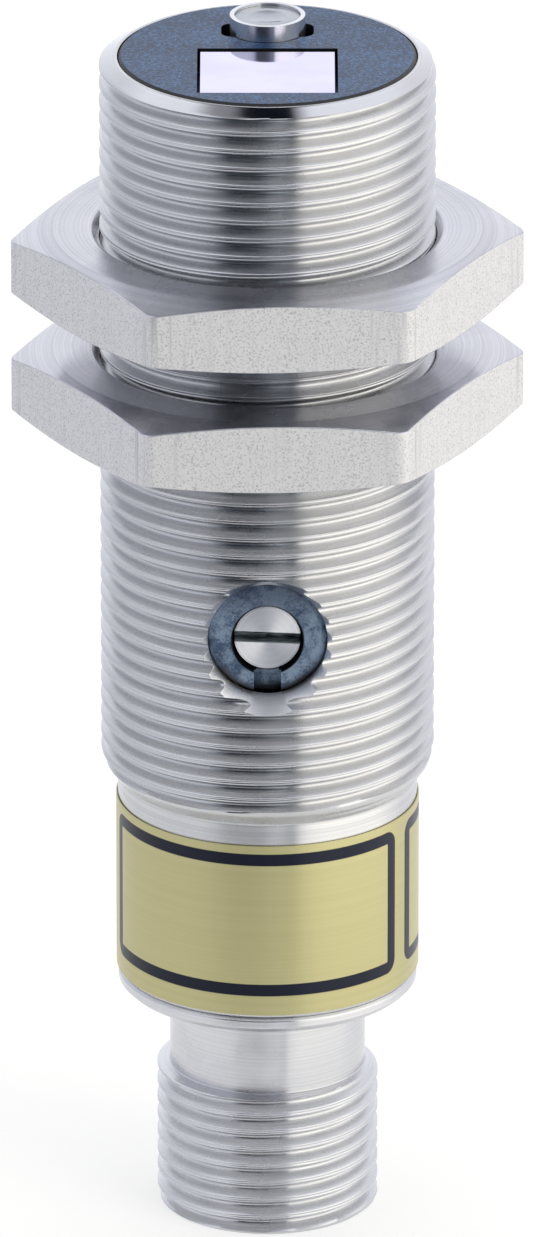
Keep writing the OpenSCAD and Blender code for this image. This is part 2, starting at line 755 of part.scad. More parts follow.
// Round-tipped pins whose flat tabs reach both faces of the board
module contact_pins() {
    tab_y = board_face + fit_gap;
    color([0.86, 0.7, 0.35]) for (index = [0 : pin_count - 1]) {
        turn = 45 + 360 * index / pin_count;
        pin_x = pin_circle_d / 2 * cos(turn);
        pin_y = pin_circle_d / 2 * sin(turn);
        side = pin_y < 0 ? -1 : 1;
        outer_y = max(abs(pin_y) + pin_d / 2, tab_y + tab_t);
        translate([pin_x, pin_y, pin_back + pin_d / 2]) {
            sphere(d = pin_d, $fn = 32);
            cylinder(d = pin_d, h = tab_z + tab_t / 2 - pin_back - pin_d / 2, $fn = 32);
        }
        translate([pin_x - tab_w / 2, side > 0 ? tab_y : -outer_y, tab_z])
            cube([tab_w, outer_y - tab_y, tab_t]);
        translate([pin_x - tab_w / 2, side > 0 ? tab_y : -tab_y - tab_t, tab_z])
            cube([tab_w, tab_t, tab_len]);
    }
}

housing_sleeve();
front_cap();
cap_seal();
receiver_window();
receiver_lens();
laser_tube();
collimator_lens();
laser_diode();
optics_holder();
photodiode();
circuit_board();
controller_chip();
driver_chip();
capacitors();
trimmer();
screw_ring();
adjusting_screw();
screw_seal();
front_nut();
rear_nut();
label_band();
connector_shell();
shell_seal();
contact_carrier();
coding_key();
carrier_seal();
contact_pins();
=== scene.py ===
# %% [markdown]
# A laser sensor in a small photo studio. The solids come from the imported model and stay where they
# are. This script dresses them: it gives each one its real finish, and where the real thing has
# more shape than the solid, such as a thread, it makes a finer piece that stands for it.

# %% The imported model
import json
import math

import bpy
import numpy as np
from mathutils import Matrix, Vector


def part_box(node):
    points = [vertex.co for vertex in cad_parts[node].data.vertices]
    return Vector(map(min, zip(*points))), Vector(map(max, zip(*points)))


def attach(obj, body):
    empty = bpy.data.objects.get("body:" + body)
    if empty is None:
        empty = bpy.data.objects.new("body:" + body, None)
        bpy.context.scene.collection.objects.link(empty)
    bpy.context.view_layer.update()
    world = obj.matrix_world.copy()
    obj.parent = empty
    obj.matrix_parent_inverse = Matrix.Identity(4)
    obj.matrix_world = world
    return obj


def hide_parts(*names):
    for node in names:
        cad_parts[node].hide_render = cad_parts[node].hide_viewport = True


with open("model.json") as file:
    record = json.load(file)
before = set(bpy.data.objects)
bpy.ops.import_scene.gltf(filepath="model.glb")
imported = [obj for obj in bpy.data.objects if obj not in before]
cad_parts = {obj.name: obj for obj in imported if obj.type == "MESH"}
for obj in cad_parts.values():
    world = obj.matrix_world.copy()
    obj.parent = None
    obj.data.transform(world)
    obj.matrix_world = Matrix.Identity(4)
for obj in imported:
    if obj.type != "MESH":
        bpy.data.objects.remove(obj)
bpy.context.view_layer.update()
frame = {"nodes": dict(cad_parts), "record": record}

# %% [markdown]
# Blender works in metres and a turner works in millimetres. The script thinks in millimetres and
# changes to metres once, when a mesh is made. Places come from the boxes of the solids, so the
# new pieces land on them without any fitting by hand.

# %% Places taken from the solids
MM = 0.001


def span(node):
    """Lowest and highest corner of a solid, in millimetres."""
    low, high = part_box(node)
    return np.array(low) / MM, np.array(high) / MM


sleeve_low, sleeve_high = span("housing_sleeve")
screw_low, screw_high = span("adjusting_screw")
FACE_Z = sleeve_high[2]
SLEEVE_Z = sleeve_low[2]
CREST_R = sleeve_high[0]
SCREW_Z = (screw_low[2] + screw_high[2]) / 2
print(f"face at {FACE_Z:.2f} mm, sleeve from {SLEEVE_Z:.2f} mm, screw at {SCREW_Z:.2f} mm")
print(f"radius over the thread: {CREST_R:.2f} mm")

# %% [markdown]
# Almost every piece here was made on a lathe, so one way of making meshes serves nearly all of
# them: an outline of (radius, height) points is carried round the axis. The points of all
# positions form a grid, rows along the outline and columns round the axis, and neighbouring grid
# points make two triangles each. Where grid points fall on each other they are welded, and the
# triangles that lose their area are dropped. That closes the seam without any special case. The
# seam lies at the back, at a quarter turn from +X.

# %% Grids of points into triangles
COLUMNS = 160
ROUND = np.linspace(0.5 * np.pi, 2.5 * np.pi, COLUMNS + 1)


def grid_triangles(rows, columns):
    """Two triangles for each cell of a grid stored row by row; they face outwards where rows climb."""
    row, column = np.meshgrid(np.arange(rows - 1), np.arange(columns - 1), indexing="ij")
    here = (row * columns + column).ravel()
    above = here + columns
    lower = np.stack([here, here + 1, above + 1], axis=1)
    upper = np.stack([here, above + 1, above], axis=1)
    return np.concatenate([lower, upper])


def weld(points, triangles):
    """Points nearer than a tenth of a micrometre become one, and triangles with no area go."""
    _, first, place = np.unique(np.round(points, 4), axis=0, return_index=True, return_inverse=True)
    welded = place.ravel()[triangles]
    kept = (welded != np.roll(welded, 1, axis=1)).all(axis=1)
    return points[first], welded[kept], kept


print("cells of one turned ring:", len(grid_triangles(2, len(ROUND))) // 2)

# %% [markdown]
# A cutting tool never leaves a perfect corner, and a perfect one looks drawn, because no light
# catches it. So each corner of an outline becomes a small bevel before it is carried round. A
# Bevel modifier could do it as well, but on the outline it costs only three more rows.

# %% Turning and softening
def turned(radius, height, angles):
    """Points at radius and height, turned by each angle about Z: x = r cos a, y = r sin a, z = h."""
    return np.stack([radius * np.cos(angles), radius * np.sin(angles), height + 0 * angles], axis=-1)


def soften(outline, size, closed=True):
    """Each corner becomes four points: two sizes and one size before it, then one and two after it.

    An open outline starts one size after its first point and ends one size before its last.
    """
    before = np.roll(outline, 1, axis=0) - outline
    after = np.roll(outline, -1, axis=0) - outline
    before /= np.linalg.norm(before, axis=-1, keepdims=True)
    after /= np.linalg.norm(after, axis=-1, keepdims=True)
    steps = np.stack([2 * size * before, size * before, size * after, 2 * size * after], axis=1)
    rows = (outline[:, None] + steps).reshape((-1,) + outline.shape[1:])
    return np.concatenate([rows, rows[:1]]) if closed else rows[2:-2]


square = np.array([[0.0, 0.0], [1.0, 0.0], [1.0, 1.0], [0.0, 1.0]])
print("a square of 4 points, softened and closed:", len(soften(square, 0.1)), "points")

# %% [markdown]
# A piece is more than its mesh. It gets materials, smooth shading with crisp edges only where
# faces meet at a steep angle, the body that it moves with, and the solids that it hides.

# %% Meshes into pieces
CRISP = math.radians(50)


def make_piece(name, points, triangles, materials, body=None, slot=None, stands_for=(), choice=None):
    """Welds and builds a mesh in millimetres, and says what it rides on and what it stands for."""
    points, triangles, kept = weld(points, triangles)
    mesh = bpy.data.meshes.new(name)
    mesh.from_pydata(points * MM, [], triangles)
    mesh.polygons.foreach_set("use_smooth", np.ones(len(triangles), bool))
    if choice is not None:
        mesh.polygons.foreach_set("material_index", choice[kept].astype(np.int32))
    mesh.set_sharp_from_angle(angle=CRISP)
    for material in materials:
        mesh.materials.append(material)
    piece = bpy.data.objects.new(name, mesh)
    bpy.context.scene.collection.objects.link(piece)
    if body:
        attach(piece, body)
    if stands_for:
        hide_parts(*stands_for)
    print(f"{name}: {len(triangles)} triangles")
    return piece


# %% [markdown]
# Materials come next. Colours are written as they look on a screen, in hex, and one function turns
# them into the linear numbers that a renderer mixes. One more function adds a shader node. Its
# inputs are a list that fills the sockets from the top, or go by name. A Map Range node, for one,
# takes a value, two limits and what it gives at each of them, which is 0 and 1 unless stated. Past
# a limit the result stays the same.

# %% Colours and shader nodes
def linear(hex_colour):
    """sRGB hex to linear light: the low end is divided by 12.92, the rest follows a 2.4 power."""
    parts = np.array([int(hex_colour[i:i + 2], 16) for i in (1, 3, 5)]) / 255
    light = np.where(parts <= 0.04045, parts / 12.92, ((parts + 0.055) / 1.055) ** 2.4)
    return (*light, 1.0)


def add(tree, kind, inputs=(), **settings):
    """Adds one shader node, sets its properties and fills its sockets with values or links.

    A node that is given as an input stands for its first output. Sockets that the settings
    leave out of use aren't counted.
    """
    node = tree.nodes.new("ShaderNode" + kind)
    for name, value in settings.items():
        setattr(node, name, value)
    sockets = [socket for socket in node.inputs if socket.enabled]
    if isinstance(inputs, dict):
        sockets = [node.inputs[name] for name in inputs]
        inputs = inputs.values()
    for socket, value in zip(sockets, inputs):
        if isinstance(value, bpy.types.Node):
            value = next(output for output in value.outputs if output.enabled)
        if isinstance(value, bpy.types.NodeSocket):
            tree.links.new(value, socket)
        else:
            socket.default_value = value
    return node


def new_material(name):
    """An empty material made of nodes, and its tree."""
    material = bpy.data.materials.new(name)
    material.use_nodes = True
    material.node_tree.nodes.clear()
    return material, material.node_tree


def finished(material, inputs):
    """Ends a material with one Principled shader, the general one for solid surfaces."""
    shader = add(material.node_tree, "BsdfPrincipled", inputs)
    add(material.node_tree, "OutputMaterial", [shader])
    return material


print("mid grey on a screen, as linear light:", round(float(linear("#808080")[0]), 3))

# %% [markdown]
# Three small recipes come back in nearly every finish: a colour that changes as some value passes
# between two limits, a noise whose patches have a real size, and the distance from an axis.

# %% Recipes shared by the finishes
def blended(tree, value, first, second, low=0.0, high=1.0):
    """The first colour where the value is low, the second where it is high; each is hex or a node."""
    amount = add(tree, "MapRange", [value, low, high])
    ends = [linear(colour) if isinstance(colour, str) else colour for colour in (first, second)]
    return add(tree, "Mix", [amount, *ends], data_type="RGBA")


def times_per_metre(size_mm):
    """Noise scale at which one patch is about that many millimetres wide."""
    return 1.0 / (size_mm * MM)


def distance(tree, across, along):
    """Root of the sum of the squares of two lengths."""
    flat = add(tree, "CombineXYZ", [across, along])
    return add(tree, "VectorMath", [flat], operation="LENGTH")


print("noise scale for patches 0.1 mm wide:", round(times_per_metre(0.1)))

# %% [markdown]
# Turned stainless steel. A lathe tool leaves one fine spiral, so the marks run in rings about the
# axis: heights on a wall, radii on a face. A noise that reads only radius and height gives both.
# The marks scatter light across themselves, up and down on a wall, and leave it sharp along the
# ring. That is why a turned cylinder shows upright bands of light with clean sides. The shader
# stretches a reflection along its tangent, which is the ring, so a quarter turn sets it upright.

# %% Turned steel
QUARTER_TURN = 0.25


def ring_marks(tree, place, axis, size_mm):
    """Noise over (distance to the axis, place along it), so its patches are rings size_mm wide."""
    parts = add(tree, "SeparateXYZ", [place]).outputs
    along, side = {"Z": (parts["Z"], parts["Y"]), "Y": (parts["Y"], parts["Z"])}[axis]
    if axis == "Y":
        side = add(tree, "Math", [side, SCREW_Z * MM], operation="SUBTRACT")
    rings = add(tree, "CombineXYZ", [distance(tree, parts["X"], side), along])
    return add(tree, "TexNoise", {"Vector": rings, "Scale": times_per_metre(size_mm), "Detail": 3.0})


def turned_steel(name, bright, dull, rough, marks_mm, depth_mm, axis="Z", anisotropic=0.85,
                 metallic=1.0, shade=None):
    """Metal whose ring marks change its tint and, a little, its surface; its gloss drifts in patches."""
    material, tree = new_material(name)
    place = add(tree, "TexCoord").outputs["Object"]
    marks = ring_marks(tree, place, axis, marks_mm)
    cloud = add(tree, "TexNoise", {"Vector": place, "Scale": times_per_metre(2.5)})
    tint = blended(tree, marks, dull, bright, 0.3, 0.7)
    inputs = {
        "Base Color": tint, "Metallic": metallic,
        "Roughness": add(tree, "MapRange", [cloud, 0.3, 0.7, rough * 0.8, rough * 1.25]),
        "Anisotropic": anisotropic, "Anisotropic Rotation": QUARTER_TURN,
        "Tangent": add(tree, "Tangent", direction_type="RADIAL", axis=axis),
        "Normal": add(tree, "Bump", {"Height": marks, "Distance": depth_mm * MM}),
    }
    if shade:
        inputs |= shade(tree, place, tint)
    return finished(material, inputs)


# %% [markdown]
# Each steel has its own tool and its own history. The thread was rolled, so its gloss is soft. The
# bevel round the face was turned last, with a keen tool, and is the smoothest. A faced nut has
# coarser rings. The screw is matt. The slot that was milled across it is painted darker below the
# end face, as painted shade down in the slot, with streaks of grime that the fingers never wipe away.

# %% The seven steels
def slot_shade_and_grime(tree, place, tint):
    """Below the screw's end face the steel turns darker, as painted shade in the slot, streaked with
    grime along it.
    """
    depth = add(tree, "SeparateXYZ", [place]).outputs["Y"]
    streaks = add(tree, "Mapping", {"Vector": place, "Scale": (0.12, 1.0, 1.0)})
    grime = add(tree, "TexNoise", {"Vector": streaks, "Scale": times_per_metre(0.12), "Detail": 3.0})
    dark = blended(tree, grime, "#4C5A60", "#BAC4C6", 0.38, 0.66)
    end_face = screw_low[1]
    # The darkening with depth below the end face is painted shade; the streaks in it are grime.
    return {"Base Color": blended(tree, depth, tint, dark, (end_face + 0.03) * MM, (end_face + 0.2) * MM)}


sleeve_steel = turned_steel("stainless_steel_rolled_thread", "#CDCED0", "#BEBFC2", 0.26, 0.12, 0.0012)
rim_steel = turned_steel("stainless_steel_turned_face", "#CDCED0", "#C4C5C8", 0.12, 0.1, 0.0006)
shell_steel = turned_steel("stainless_steel_fine_turned", "#D5D6D9", "#C6C7CB", 0.25, 0.1, 0.0012,
                           anisotropic=0.94)
nut_steel = turned_steel("stainless_steel_faced_nut", "#CDCDD2", "#B4B5BB", 0.25, 0.14, 0.0024)
tube_steel = turned_steel("stainless_steel_turned_tube", "#DCDDE1", "#D3D4D8", 0.22, 0.1, 0.0008,
                          anisotropic=0.8)
screw_steel = turned_steel("stainless_steel_turned_screw", "#F0F1F6", "#DEE0E6", 0.5, 0.12, 0.002,
                           axis="Y", shade=slot_shade_and_grime)
pocket_steel = turned_steel("stainless_steel_countersunk", "#EDEEF1", "#DEDFE3", 0.3, 0.12, 0.001,
                            axis="Y", metallic=0.95)
print("turned steels:", [m.name for m in bpy.data.materials if m.name.startswith("stainless")])

# %% [markdown]
# The nuts are cut from drawn hexagon bar. Drawing through a die leaves the flats matt and slightly
# pitted, with a few scores along the bar, which is upright here. Pits are a fine noise, and the
# scores are a noise that is squeezed round the nut and stretched along it. They gather near the
# corners, where the die rubs hardest. The broken surface scatters light like a pale powder, so
# the shader is only partly metallic.

# %% Drawn bar steel
SCORE_SQUEEZE = (1.0, 1.0, 0.04)


def drawn_steel(name, colour, pit_colour, rough, pit_mm, depth_mm, corner_mm):
    """Matt metal with dark pits, and upright scores that grow between two radii near the corners."""
    material, tree = new_material(name)
    place = add(tree, "TexCoord").outputs["Object"]
    parts = add(tree, "SeparateXYZ", [place]).outputs
    pits = add(tree, "TexNoise", {"Vector": place, "Scale": times_per_metre(pit_mm), "Detail": 3.0})
    upright = add(tree, "Mapping", {"Vector": place, "Scale": SCORE_SQUEEZE})
    scores = add(tree, "TexNoise", {"Vector": upright, "Scale": times_per_metre(0.3), "Detail": 4.0})
    low, high = (radius * MM for radius in corner_mm)
    corner = add(tree, "MapRange", [distance(tree, parts["X"], parts["Y"]), low, high, 0.22, 1.0])
    dark = add(tree, "MapRange", [pits, 0.3, 0.5, 1.0, 0.0])
    scored = add(tree, "MapRange", [scores, 0.52, 0.7, 0.0, 0.85])
    worn = add(tree, "Math", [scored, corner], operation="MULTIPLY")
    both = add(tree, "Math", [dark, worn], operation="MAXIMUM")
    relief = add(tree, "Math", [pits, worn], operation="SUBTRACT")
    return finished(material, {
        "Base Color": blended(tree, both, colour, pit_colour), "Metallic": 0.4, "Roughness": rough,
        "Normal": add(tree, "Bump", {"Height": relief, "Distance": depth_mm * MM}),
    })


bar_steel = drawn_steel("stainless_steel_drawn_bar", "#EAEAEC", "#BDBDC0", 0.65, 0.1, 0.005, (12.7, 13.5))
print("bar steel:", bar_steel.name)

# %% [markdown]
# The dark parts are moulded. A mould is often eroded to a fine grain, so the plastic shows tiny
# lit specks on a soft dark ground. The grain is real relief, so a bump makes it, and a slight
# lightening of its tops stands for the polish that handling gives them. That polish is uneven, so
# a second noise with patches a few millimetres wide lets it drift.

# %% Moulded plastics
PATCH_MM = 3.5


def moulded_plastic(name, colour, tops, rough, grain_mm, depth_mm, speck_mm=None, shade=None):
    """Plastic with an eroded grain: noise for the relief, and a lighter tint on its tops."""
    material, tree = new_material(name)
    place = add(tree, "TexCoord").outputs["Object"]
    grain = add(tree, "TexNoise", {"Vector": place, "Scale": times_per_metre(grain_mm), "Detail": 3.0})
    if speck_mm:
        specks = add(tree, "TexNoise", {"Vector": place, "Scale": times_per_metre(speck_mm)})
        fine = add(tree, "MapRange", [specks, 0.3, 0.7, -0.38, 0.38])
        coarse = add(tree, "MapRange", [grain, 0.36, 0.62])
        lift = add(tree, "Math", [coarse, fine], operation="ADD", use_clamp=True)
    else:
        lift = add(tree, "MapRange", [grain, 0.44, 0.68])
    patches = add(tree, "TexNoise", {"Vector": place, "Scale": times_per_metre(PATCH_MM)})
    drift = add(tree, "MapRange", [patches, 0.35, 0.65, -0.16, 0.16])
    polish = add(tree, "Math", [lift, drift], operation="ADD", use_clamp=True)
    tint = blended(tree, polish, colour, tops)
    inputs = {
        "Base Color": tint, "Roughness": rough, "IOR": 1.5,
        "Normal": add(tree, "Bump", {"Height": grain, "Distance": depth_mm * MM}),
    }
    if shade:
        inputs |= shade(tree, place, tint)
    return finished(material, inputs)


# %% [markdown]
# Little light gets into a narrow gap. The studio's lamps are large and soft and still reach in, so
# two plastics carry their own shade. The cap's walls go dark where the surface stops facing up.
# The ring goes black in the gap round the screw, and dim under its rounded edge and at its top,
# where the pocket hangs over it. Plastic's clear skin would also mirror the tent in that gap. A
# metal mirrors only in its own colour, so Metallic rises there and leaves the near-black as it is.

# %% Shade in narrow gaps
DEEP_SHADE = "#05070C"
RING_GAP_R = (1.93, 2.01)
RING_GAP_DROP = 0.09


def shaded_walls(tree, place, tint):
    """Upright walls of holes and pockets are dark, and a surface that faces up keeps its tint."""
    normal = add(tree, "NewGeometry").outputs["True Normal"]
    upward = add(tree, "SeparateXYZ", [normal]).outputs["Z"]
    return {"Base Color": blended(tree, upward, DEEP_SHADE, tint, 0.75, 0.97)}


def shaded_gap(tree, place, tint):
    """Shade by the height over the gap's middle and the distance from it."""
    parts = add(tree, "SeparateXYZ", [place]).outputs
    rise = add(tree, "Math", [parts["Z"], (SCREW_Z - RING_GAP_DROP) * MM], operation="SUBTRACT")
    reach = distance(tree, parts["X"], rise)
    top = add(tree, "MapRange", [rise, 1.0 * MM, 2.6 * MM, 0.0, 0.6])
    outer = add(tree, "MapRange", [reach, 2.5 * MM, 2.9 * MM])
    lower = add(tree, "MapRange", [rise, -2.0 * MM, -0.6 * MM, 1.0, 0.0])
    under = add(tree, "Math", [outer, lower], operation="MULTIPLY")
    gap = add(tree, "MapRange", [reach, RING_GAP_R[0] * MM, RING_GAP_R[1] * MM, 1.0, 0.0])
    for amount, colour in ((top, "#14223F"), (under, "#080D18"), (gap, DEEP_SHADE)):
        tint = blended(tree, amount, tint, colour)
    return {"Base Color": tint, "Metallic": gap}


cap_plastic = moulded_plastic("glass_filled_nylon_moulded", "#05274D", "#3A6796", 0.42, 0.14, 0.02,
                              shade=shaded_walls)
ring_plastic = moulded_plastic("acetal_moulded_satin", "#38506F", "#8A9FB9", 0.45, 0.9, 0.004,
                               speck_mm=0.12, shade=shaded_gap)
inner_plastic = moulded_plastic("polyamide_moulded_black", "#1C1C1D", "#29292B", 0.55, 0.15, 0.008)
chip_plastic = moulded_plastic("epoxy_moulded_chip", "#1F1F21", "#2E2E31", 0.6, 0.08, 0.004)
trimmer_plastic = moulded_plastic("polyester_moulded_blue", "#27417E", "#34539A", 0.35, 0.2, 0.003)
seal_rubber = moulded_plastic("nitrile_rubber_moulded", "#1A1A1A", "#242424", 0.65, 0.1, 0.004)
print("moulded:", [m.name for m in bpy.data.materials if "moulded" in m.name])

# %% [markdown]
# The window is filter glass with a vapour-deposited coating, which throws most light back with a
# pale violet tint, so it works as a weak mirror. The lenses are clear moulded glass, and what
# shows is mostly the glint of their coating. The metals and the board inside are drawn, gilt or
# laminated, and each drifts a little between two tints, as handled stock does.

# %% Window, lenses and the parts inside
def clouded(name, bright, dull, patch_mm, metallic, rough):
    """A finish whose colour drifts a little between two tints, in patches of the given width."""
    material, tree = new_material(name)
    place = add(tree, "TexCoord").outputs["Object"]
    cloud = add(tree, "TexNoise", {"Vector": place, "Scale": times_per_metre(patch_mm)})
    tint = blended(tree, cloud, dull, bright, 0.35, 0.65)
    return finished(material, {"Base Color": tint, "Metallic": metallic, "Roughness": rough})


window_glass = clouded("filter_glass_coated", "#DAD7F0", "#D2CFE8", 3.0, 1.0, 0.06)
lens_glass = clouded("optical_glass_moulded", "#AEB3BB", "#A2A8B0", 2.0, 0.5, 0.12)
gilt_metal = clouded("brass_gilt", "#E7C778", "#D9B55F", 1.0, 1.0, 0.25)
can_aluminium = clouded("aluminium_drawn_can", "#DADBDD", "#C9CACD", 0.8, 1.0, 0.35)
board_laminate = clouded("glass_epoxy_laminate", "#1F5B36", "#1A4C2D", 0.4, 0.0, 0.45)
print("materials so far:", len(bpy.data.materials))

# %% [markdown]
# The label is a printed foil: straw-yellow lacquer over metal, satin, with plain dark frames
# printed on it. The frames are lines with rounded corners. For a point on the band, the arc length
# from the frame's middle and the height above it are folded to one quarter by taking their sizes,
# and the distance to a rounded rectangle follows from the part of them that lies outside its
# straight core. Ink shows where that distance is within half a line's width.

# %% Frames on the label
label_low, label_high = span("label_band")
LABEL_R = label_high[0]
FRAME_LINE = 0.68
FRAME_CORNER = 0.42
FRAME_LOW, FRAME_HIGH = 14.98, 23.24
FRAMES_DEG = ((-77.6, 57.0), (64.5, 172.0))


def bearing(tree, parts):
    """Angle round Z from the front, -Y, towards the right, +X: the arc tangent of x over minus y."""
    front = add(tree, "Math", [parts["Y"], -1.0], operation="MULTIPLY")
    return add(tree, "Math", [parts["X"], front], operation="ARCTAN2")


def frame_distance(tree, arc, height, left_deg, right_deg):
    """Distance from the middle line of one frame, in metres."""
    middle_arc = math.radians((left_deg + right_deg) / 2) * LABEL_R
    half_arc = math.radians(right_deg - left_deg) / 2 * LABEL_R - FRAME_LINE / 2
    middle_height = (FRAME_LOW + FRAME_HIGH) / 2
    half_height = (FRAME_HIGH - FRAME_LOW - FRAME_LINE) / 2
    past_core = []
    outside = []
    for value, middle, half in ((arc, middle_arc, half_arc), (height, middle_height, half_height)):
        moved = add(tree, "Math", [value, middle * MM], operation="SUBTRACT")
        size = add(tree, "Math", [moved], operation="ABSOLUTE")
        past_core.append(add(tree, "Math", [size, (half - FRAME_CORNER) * MM], operation="SUBTRACT"))
        outside.append(add(tree, "Math", [past_core[-1], 0.0], operation="MAXIMUM"))
    nearest = add(tree, "Math", past_core, operation="MAXIMUM")
    inside = add(tree, "Math", [nearest, 0.0], operation="MINIMUM")
    total = add(tree, "Math", [distance(tree, *outside), inside], operation="ADD")
    line = add(tree, "Math", [total, FRAME_CORNER * MM], operation="SUBTRACT")
    return add(tree, "Math", [line], operation="ABSOLUTE")


print(f"label radius {LABEL_R:.2f} mm, height {label_high[2] - label_low[2]:.2f} mm")

# %% [markdown]
# The lacquer follows the fine rings of the metal under it, so the foil stretches its reflections
# as turned steel does, only less. The ink covers it, and the edge of a printed line fades over two
# hundredths of a millimetre on either side.

# %% Printed label foil
INK_BLUR = 0.02


def printed_foil(name, field, field_dull, ink):
    """Lacquered foil: straw field with rings of sheen, and ink where the frames' lines run."""
    material, tree = new_material(name)
    place = add(tree, "TexCoord").outputs["Object"]
    parts = add(tree, "SeparateXYZ", [place]).outputs
    arc = add(tree, "Math", [bearing(tree, parts), LABEL_R * MM], operation="MULTIPLY")
    frames = [frame_distance(tree, arc, parts["Z"], left, right) for left, right in FRAMES_DEG]
    nearest = add(tree, "Math", frames, operation="MINIMUM")
    marks = ring_marks(tree, place, "Z", 0.15)
    plain = blended(tree, marks, field_dull, field, 0.3, 0.7)
    low, high = ((FRAME_LINE / 2 + blur) * MM for blur in (-INK_BLUR, INK_BLUR))
    return finished(material, {
        "Base Color": blended(tree, nearest, ink, plain, low, high), "Metallic": 0.5, "Roughness": 0.38,
        "Anisotropic": 0.6, "Anisotropic Rotation": QUARTER_TURN,
        "Tangent": add(tree, "Tangent", direction_type="RADIAL", axis="Z"),
    })


label_foil = printed_foil("polyester_foil_printed", "#C8C290", "#C3BD8B", "#070F26")
print("foil:", label_foil.name)

# %% [markdown]
# The sleeve's thread was rolled: hard rollers press the grooves in and push the metal up into the
# crests, where it meets in the middle and leaves two fine lips with a shallow seam between them.
# Seen along a crest that gives a pair of bright lines. The groove is a round-bottomed vee. Its
# depth depends only on the distance to the nearest crest, and the crests climb by one pitch a
# turn, so the grid's rows climb with them and every crest edge stays crisp.

# %% Thread profile
PITCH = 1.0
FRONT = 1.5 * np.pi
FROM_CREST = np.array([0, 0.045, 0.08, 0.1, 0.15, 0.3, 0.39, 0.5])
GROOVE_DEPTH = np.array([0.038, 0.038, 0, 0.006, 0.056, 0.43, 0.575, 0.61])
FADE = 0.2


def groove_depth(turns):
    """Depth under the crests at a place given in turns from a crest's middle."""
    away = np.abs((turns + 0.5) % 1 - 0.5)
    return np.interp(away * PITCH, FROM_CREST, GROOVE_DEPTH)


def threaded_outline(below, above, low, high, crest_z, crest_r, blank, last_z):
    """Radius and height of every grid point of a turned piece with a right-hand thread.

    Rows below and above the thread are plain rings. Rows between them climb one pitch a turn, are
    held between low and high, and fold onto those heights there. The radius is the smaller of the
    turned blank's and the thread's, which is the crest radius less the groove's depth. The groove
    fades out over a short way below last_z, and above it only the blank counts.
    """
    climb = (ROUND - FRONT) / (2 * np.pi)
    pattern = np.concatenate([FROM_CREST, PITCH - FROM_CREST[-2:0:-1]])
    turns = np.arange(np.floor((low - crest_z) / PITCH) - 1, np.ceil((high - crest_z) / PITCH) + 2)
    rows = crest_z + (turns[:, None] * PITCH + pattern).ravel()
    thread_z = np.clip(rows[:, None] + climb * PITCH, low, high)
    flat = 0 * ROUND
    height = np.concatenate([below[:, 1:] + flat, thread_z, above[:, 1:] + flat])
    radius = np.concatenate([below[:, :1] + flat, blank(thread_z), above[:, :1] + flat])
    fade = np.clip((last_z - height) / FADE, 0, 1)
    cut = crest_r - fade * groove_depth((height - crest_z) / PITCH - climb)
    return np.where(height < last_z, np.minimum(radius, cut), radius), height


def rings(blank, heights):
    """Outline points of a blank at the given heights."""
    return np.stack([blank(heights), heights], axis=1)


print("groove depth:", GROOVE_DEPTH.max(), "mm, rows for each turn:", 2 * len(FROM_CREST) - 2)

# %% [markdown]
# The sleeve is one turned blank: a plain rear end for the label, a bevel up to the thread, the
# thread, a bevel round the face, a seat for the cap and the bore. The bevels run right through the
# thread's first and last turns, as they do on the lathe, because the smaller radius wins. The lip
# round the cap ends about a tenth of a millimetre below it.

# %% Sleeve blank
EDGE = 0.04
FINE_EDGE = 0.02
SMALL_BEVEL = 0.15
REAR_R, BORE_R, SEAT_R, SEAT_DEPTH = 8.1, 7.4, 8.02, 2.5
REAR_TOP = SLEEVE_Z + 11.3
REAR_BEVEL_R, REAR_BEVEL_Z = 8.7, REAR_TOP + 0.75
THREAD_LOW = REAR_TOP + 1.5
THREAD_HIGH = FACE_Z - 0.5
RIM_MIDDLE_Z = FACE_Z - 0.25
LIP_Z = FACE_Z - 0.09
SEAM_Z = SLEEVE_Z + 5


def sleeve_blank(height):
    """Radius of the blank over the thread and its bevels."""
    return np.interp(height, [REAR_TOP, REAR_BEVEL_Z, THREAD_LOW, THREAD_HIGH, FACE_Z],
                     [REAR_R, REAR_BEVEL_R, CREST_R, CREST_R, SEAT_R])


rear = soften(np.array([
    [BORE_R, SEAM_Z], [BORE_R, SLEEVE_Z], [REAR_R - SMALL_BEVEL, SLEEVE_Z],
    [REAR_R, SLEEVE_Z + SMALL_BEVEL], [REAR_R, REAR_TOP]]), EDGE, closed=False)
runout = rings(sleeve_blank, np.linspace(REAR_TOP, THREAD_LOW, 16)[:-1])
rim = rings(sleeve_blank, np.linspace(THREAD_HIGH, RIM_MIDDLE_Z, 6)[1:-1])
mouth = soften(np.array([
    [sleeve_blank(RIM_MIDDLE_Z), RIM_MIDDLE_Z], [sleeve_blank(LIP_Z), LIP_Z], [SEAT_R, LIP_Z],
    [SEAT_R, FACE_Z - SEAT_DEPTH], [BORE_R, FACE_Z - SEAT_DEPTH], [BORE_R, SEAM_Z]]),
    FINE_EDGE, closed=False)
print("plain rings of the sleeve:", len(rear) + len(runout) + len(rim) + len(mouth))

# %% [markdown]
# The sleeve gets three finishes: the thread's, the countersink's, which is cut in a later step, and
# the smooth one of the bevel round the face. The bevel's rings are the last ones before the seat,
# up to the softened edge of the lip, which is four rows into the mouth.

# %% Threaded sleeve
FACE_CREST_Z = THREAD_HIGH + 0.19
LAST_GROOVE_Z = THREAD_HIGH + 0.12
LIP_ROWS = 4

